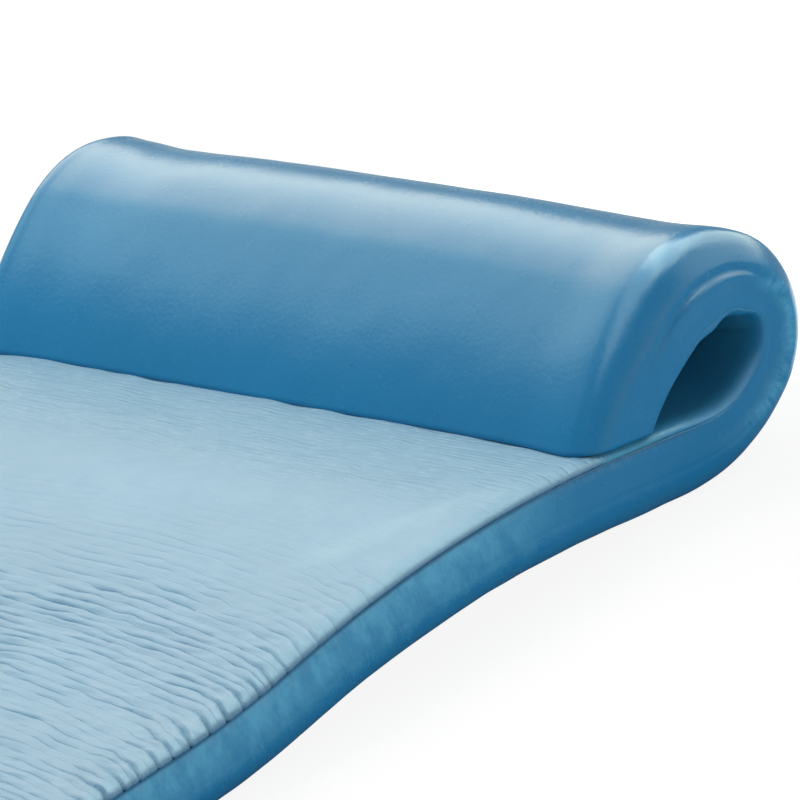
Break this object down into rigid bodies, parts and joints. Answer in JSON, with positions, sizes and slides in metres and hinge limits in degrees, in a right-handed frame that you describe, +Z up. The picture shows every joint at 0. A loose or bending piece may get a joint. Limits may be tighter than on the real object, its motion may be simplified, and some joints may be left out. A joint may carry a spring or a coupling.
{
  "type": "foam pool float",
  "caption": "Coated foam pool float: a long flat mat with rounded edges whose head end curls up, back and over into a roll pillow.",
  "frame": {"origin": "on the surface the float lies on, under the middle of its bounding box", "axes": "+Z up, +Y along the mat from its foot towards the roll pillow, X across the float's width; the float is mirror-symmetric about X = 0"},
  "size_m": [0.66, 1.83, 0.1741],
  "materials": {
    "foam": "matte",
    "adhesive": "satin",
    "vinyl_light": "satin",
    "vinyl_deep": "satin"
  },
  "bodies": {
    "root": {"foam_core_lower": "foam", "foam_core_upper": "foam", "ply_bond": "adhesive", "pillow_bond": "adhesive", "vinyl_coat_top": "vinyl_light", "vinyl_coat_underside": "vinyl_deep"}
  },
  "joints": []
}
